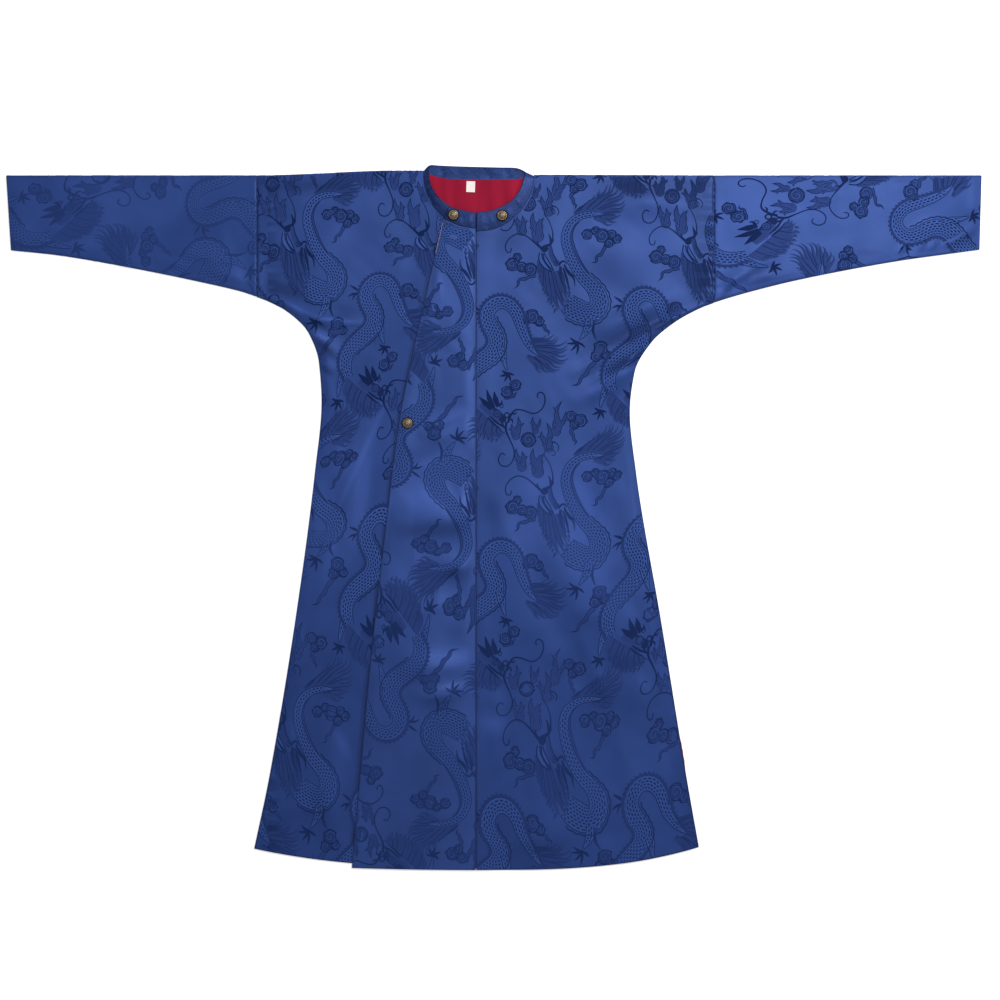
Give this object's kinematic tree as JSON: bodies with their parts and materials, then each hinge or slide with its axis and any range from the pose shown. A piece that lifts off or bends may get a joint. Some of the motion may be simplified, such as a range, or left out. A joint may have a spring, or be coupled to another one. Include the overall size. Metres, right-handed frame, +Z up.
{
  "type": "round-collar robe",
  "caption": "Long robe with a round standing collar, tapering sleeves and a front lapped to one side, in dark blue dragon damask, laid flat.",
  "frame": {"origin": "on the surface the robe lies on, under the middle of its outline", "axes": "+X from the wearer's right sleeve to the left one, +Y from the hem to the collar, +Z up out of the front"},
  "size_m": [1.825, 1.3192, 0.0163],
  "materials": {
    "satin": "dark blue satin damask",
    "lining": "smooth crimson lining",
    "label": "white woven tape",
    "button": "antiqued, stamped"
  },
  "bodies": {
    "root": {"body_left": "satin", "body_right": "satin", "front_overlap": "satin", "sleeve_left": "satin", "sleeve_right": "satin", "collar_band": "satin", "collar_overlap": "satin", "lining_neck": "lining", "lining_vent": "lining", "neck_label": "label", "button_collar_right": "button", "button_collar_left": "button", "button_chest": "button"}
  },
  "joints": []
}
